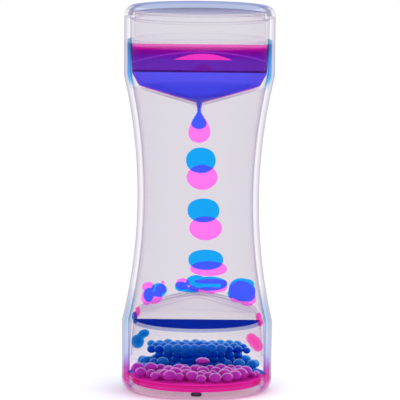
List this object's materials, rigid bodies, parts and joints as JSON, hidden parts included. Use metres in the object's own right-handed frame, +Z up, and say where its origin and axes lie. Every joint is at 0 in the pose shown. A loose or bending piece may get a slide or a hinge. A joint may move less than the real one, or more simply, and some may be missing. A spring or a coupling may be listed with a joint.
{
  "type": "liquid motion timer",
  "caption": "Sealed waisted clear tube in which pink and blue liquid drip from a funnel through clear oil, land on a second funnel and gather below.",
  "frame": {"origin": "middle of the flat base that the timer stands on", "axes": "+Z up along the tube, -Y towards the pink liquid and the viewer, +X to the viewer's right"},
  "size_m": [0.053, 0.053, 0.136],
  "materials": {
    "casing": "clear polished",
    "cap": "clear polished",
    "plug": "translucent",
    "funnel": "clear polished",
    "divider": "clear polished",
    "oil": "clear liquid",
    "pink_liquid": "dyed clear liquid",
    "blue_liquid": "dyed clear liquid"
  },
  "bodies": {
    "housing": {"casing": "casing", "top_cap": "cap", "base_cap": "cap", "front_fill_plug": "plug", "rear_fill_plug": "plug", "upper_funnel": "funnel", "lower_funnel": "funnel", "divider": "divider", "front_oil": "oil", "rear_oil": "oil", "pink_bubbles": "pink_liquid", "blue_bubbles": "blue_liquid", "pink_reservoir": "pink_liquid", "pink_hanging_drop": "pink_liquid", "pink_landed_drop": "pink_liquid", "pink_pool": "pink_liquid", "blue_reservoir": "blue_liquid", "blue_hanging_drop": "blue_liquid", "blue_landed_drop": "blue_liquid", "blue_pool": "blue_liquid"},
    "pink_drop_1": {"pink_falling_drop_1": "pink_liquid"},
    "pink_drop_2": {"pink_falling_drop_2": "pink_liquid"},
    "pink_drop_3": {"pink_falling_drop_3": "pink_liquid"},
    "blue_drop_1": {"blue_falling_drop_1": "blue_liquid"},
    "blue_drop_2": {"blue_falling_drop_2": "blue_liquid"},
    "blue_drop_3": {"blue_falling_drop_3": "blue_liquid"},
    "pink_running_drop_right": {"pink_running_drop_right": "pink_liquid"},
    "blue_running_drop_right": {"blue_running_drop_right": "blue_liquid"},
    "pink_running_drop_left": {"pink_running_drop_left": "pink_liquid"},
    "blue_running_drop_left": {"blue_running_drop_left": "blue_liquid"},
    "pink_sinking_drop": {"pink_sinking_drop": "pink_liquid"},
    "blue_sinking_drop": {"blue_sinking_drop": "blue_liquid"}
  },
  "joints": [
    {"name": "pink_fall_1", "type": "slide", "parent": "housing", "child": "pink_drop_1", "axis": [0, 0, -1], "range_m": [-0.0055, 0.001]},
    {"name": "pink_fall_2", "type": "slide", "parent": "housing", "child": "pink_drop_2", "axis": [0, 0, -1], "range_m": [-0.0055, 0.001]},
    {"name": "pink_fall_3", "type": "slide", "parent": "housing", "child": "pink_drop_3", "axis": [0, 0, -1], "range_m": [-0.0055, 0.001]},
    {"name": "blue_fall_1", "type": "slide", "parent": "housing", "child": "blue_drop_1", "axis": [0, 0, -1], "range_m": [-0.0055, 0.001]},
    {"name": "blue_fall_2", "type": "slide", "parent": "housing", "child": "blue_drop_2", "axis": [0, 0, -1], "range_m": [-0.0055, 0.001]},
    {"name": "blue_fall_3", "type": "slide", "parent": "housing", "child": "blue_drop_3", "axis": [0, 0, -1], "range_m": [-0.0055, 0.001]},
    {"name": "pink_run_right", "type": "slide", "parent": "housing", "child": "pink_running_drop_right", "axis": [0.9573, 0, -0.289], "range_m": [-0.0005, 0.00045]},
    {"name": "blue_run_right", "type": "slide", "parent": "housing", "child": "blue_running_drop_right", "axis": [0.9573, 0, -0.289], "range_m": [-0.0005, 0.0002]},
    {"name": "pink_run_left", "type": "slide", "parent": "housing", "child": "pink_running_drop_left", "axis": [-0.9568, 0.0302, -0.289], "range_m": [-0.003, 0.0012]},
    {"name": "blue_run_left", "type": "slide", "parent": "housing", "child": "blue_running_drop_left", "axis": [-0.9573, -0.0065, -0.289], "range_m": [-0.0025, 0.0016]},
    {"name": "pink_sink", "type": "slide", "parent": "housing", "child": "pink_sinking_drop", "axis": [0, 0, -1], "range_m": [-0.001, 0.0045]},
    {"name": "blue_sink", "type": "slide", "parent": "housing", "child": "blue_sinking_drop", "axis": [0, 0, -1], "range_m": [-0.001, 0.0045]}
  ],
  "couplings": [
    {"joint": "pink_fall_2", "follows": "pink_fall_1", "ratio": 1},
    {"joint": "pink_fall_3", "follows": "pink_fall_1", "ratio": 1},
    {"joint": "blue_fall_2", "follows": "blue_fall_1", "ratio": 1},
    {"joint": "blue_fall_3", "follows": "blue_fall_1", "ratio": 1}
  ]
}
